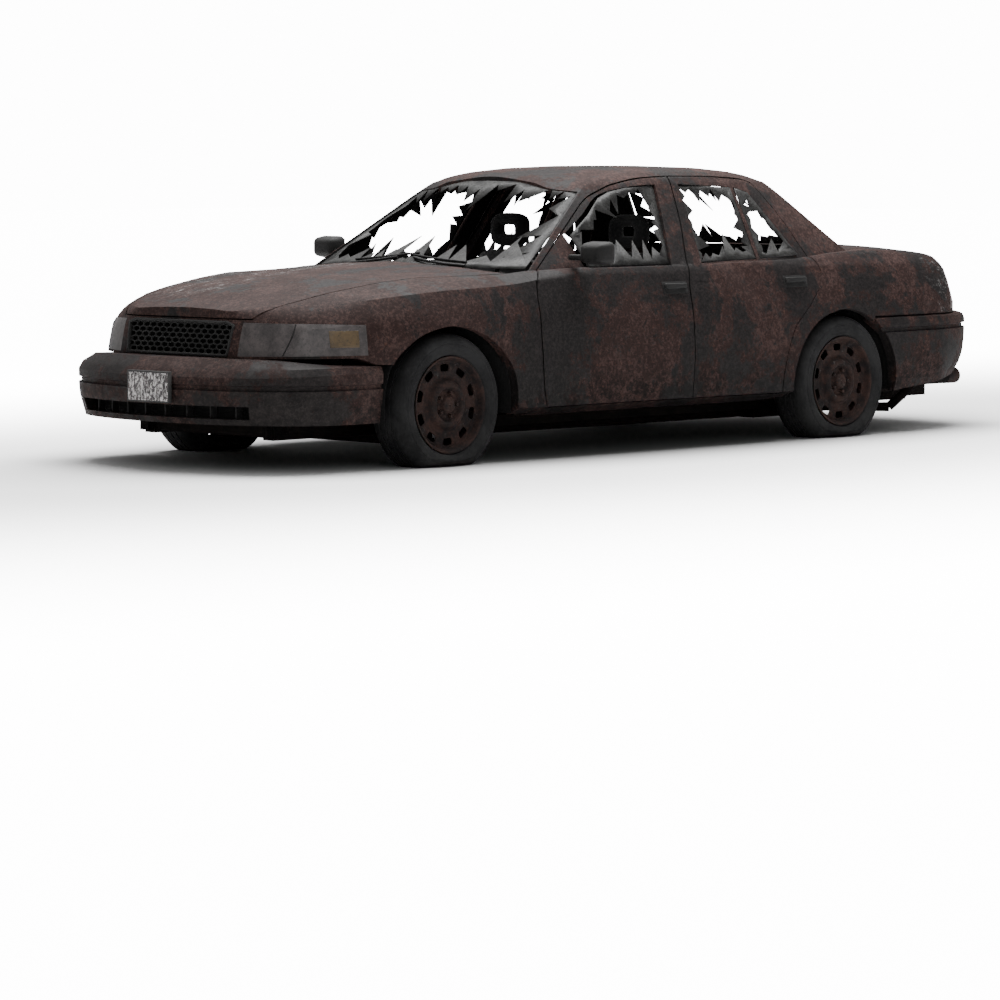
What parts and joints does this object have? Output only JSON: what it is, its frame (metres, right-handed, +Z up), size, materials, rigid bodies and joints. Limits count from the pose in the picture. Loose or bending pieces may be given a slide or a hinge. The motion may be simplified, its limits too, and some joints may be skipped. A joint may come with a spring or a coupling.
{
  "type": "rusted saloon car wreck",
  "caption": "Rusted wreck of a full-size four-door saloon with broken windows and flat tyres, opening doors, hood and boot lid, steering and turning wheels.",
  "frame": {"origin": "middle of the bounding box at ground level, under the tyres", "axes": "-X forwards, +X to the rear, +Y to the car's right side, +Z up"},
  "size_m": [5.4305, 2.12, 1.432],
  "materials": {
    "rusted_paint": "matt rust over worn paint",
    "dirty_glass": "dusty",
    "black_plastic": "dusty matt",
    "lamp_lens": "dull and dirty",
    "red_lens": "dull and dirty",
    "blank_plate": "worn",
    "seat_fabric": "dusty black cloth",
    "underbody": "matt rust",
    "tyre_rubber": "dusty, perished",
    "rusty_steel": "rusted"
  },
  "bodies": {
    "root": {"body_cage": "rusted_paint", "quarter_panel_right": "rusted_paint", "quarter_panel_left": "rusted_paint", "front_wing_right": "rusted_paint", "front_wing_left": "rusted_paint", "header_panel": "rusted_paint", "windscreen_glass": "dirty_glass", "rear_window_glass": "dirty_glass", "front_bumper": "rusted_paint", "rear_bumper": "rusted_paint", "grille": "black_plastic", "headlamp_right": "lamp_lens", "headlamp_left": "lamp_lens", "tail_lamp_right": "red_lens", "tail_lamp_left": "red_lens", "front_plate": "blank_plate", "floor_pan": "underbody", "bay_walls": "underbody", "rear_bulkhead": "underbody", "front_seat_left": "seat_fabric", "front_seat_right": "seat_fabric", "rear_seat": "seat_fabric", "dashboard": "black_plastic", "wiper_left": "black_plastic", "wiper_right": "black_plastic", "chassis_frame": "underbody", "front_crossmember": "underbody", "rear_axle": "underbody", "engine_block": "underbody", "exhaust": "underbody"},
    "hood": {"hood": "rusted_paint"},
    "boot_lid": {"boot_lid": "rusted_paint", "rear_plate": "blank_plate"},
    "door_front_left": {"front_door_left": "rusted_paint", "front_door_glass_left": "dirty_glass", "door_mirror_left": "black_plastic"},
    "door_rear_left": {"rear_door_left": "rusted_paint", "rear_door_glass_left": "dirty_glass"},
    "door_front_right": {"front_door_right": "rusted_paint", "front_door_glass_right": "dirty_glass", "door_mirror_right": "black_plastic"},
    "door_rear_right": {"rear_door_right": "rusted_paint", "rear_door_glass_right": "dirty_glass"},
    "knuckle_left": {"steering_knuckle_left": "underbody"},
    "knuckle_right": {"steering_knuckle_right": "underbody"},
    "steering_wheel": {"steering_wheel": "black_plastic"},
    "wheel_front_left": {"tyre_front_left": "tyre_rubber", "rim_front_left": "rusty_steel"},
    "wheel_front_right": {"tyre_front_right": "tyre_rubber", "rim_front_right": "rusty_steel"},
    "wheel_rear_left": {"tyre_rear_left": "tyre_rubber", "rim_rear_left": "rusty_steel"},
    "wheel_rear_right": {"tyre_rear_right": "tyre_rubber", "rim_rear_right": "rusty_steel"}
  },
  "joints": [
    {"name": "hood_hinge", "type": "hinge", "parent": "root", "child": "hood", "pos_m": [-1.0245, 0, 0.925], "axis": [0, 1, 0], "range_deg": [0, 50]},
    {"name": "boot_lid_hinge", "type": "hinge", "parent": "root", "child": "boot_lid", "pos_m": [1.6005, 0, 0.985], "axis": [0, -1, 0], "range_deg": [0, 70]},
    {"name": "front_door_hinge_left", "type": "hinge", "parent": "root", "child": "door_front_left", "pos_m": [-0.8895, -0.94, 0.6], "axis": [0, 0, -1], "range_deg": [0, 65]},
    {"name": "rear_door_hinge_left", "type": "hinge", "parent": "root", "child": "door_rear_left", "pos_m": [0.1925, -0.94, 0.6], "axis": [0, 0, -1], "range_deg": [0, 65]},
    {"name": "front_door_hinge_right", "type": "hinge", "parent": "root", "child": "door_front_right", "pos_m": [-0.8895, 0.94, 0.6], "axis": [0, 0, 1], "range_deg": [0, 65]},
    {"name": "rear_door_hinge_right", "type": "hinge", "parent": "root", "child": "door_rear_right", "pos_m": [0.1925, 0.94, 0.6], "axis": [0, 0, 1], "range_deg": [0, 65]},
    {"name": "steer_left", "type": "hinge", "parent": "root", "child": "knuckle_left", "pos_m": [-1.556, -0.74, 0.297], "axis": [0, 0, 1], "range_deg": [-30, 30]},
    {"name": "steer_right", "type": "hinge", "parent": "root", "child": "knuckle_right", "pos_m": [-1.556, 0.74, 0.297], "axis": [0, 0, 1], "range_deg": [-30, 30]},
    {"name": "steering_wheel_turn", "type": "hinge", "parent": "root", "child": "steering_wheel", "pos_m": [-0.4995, -0.38, 0.818], "axis": [0.9135, 0, 0.4067], "range_deg": [-450, 450]},
    {"name": "roll_front_left", "type": "hinge", "parent": "knuckle_left", "child": "wheel_front_left", "pos_m": [-1.556, -0.81, 0.297], "axis": [0, -1, 0], "continuous": true},
    {"name": "roll_front_right", "type": "hinge", "parent": "knuckle_right", "child": "wheel_front_right", "pos_m": [-1.556, 0.81, 0.297], "axis": [0, -1, 0], "continuous": true},
    {"name": "roll_rear_left", "type": "hinge", "parent": "root", "child": "wheel_rear_left", "pos_m": [1.357, -0.81, 0.297], "axis": [0, -1, 0], "continuous": true},
    {"name": "roll_rear_right", "type": "hinge", "parent": "root", "child": "wheel_rear_right", "pos_m": [1.357, 0.81, 0.297], "axis": [0, -1, 0], "continuous": true}
  ],
  "couplings": [
    {"joint": "steer_right", "follows": "steer_left", "ratio": 1},
    {"joint": "steering_wheel_turn", "follows": "steer_left", "ratio": 15}
  ]
}
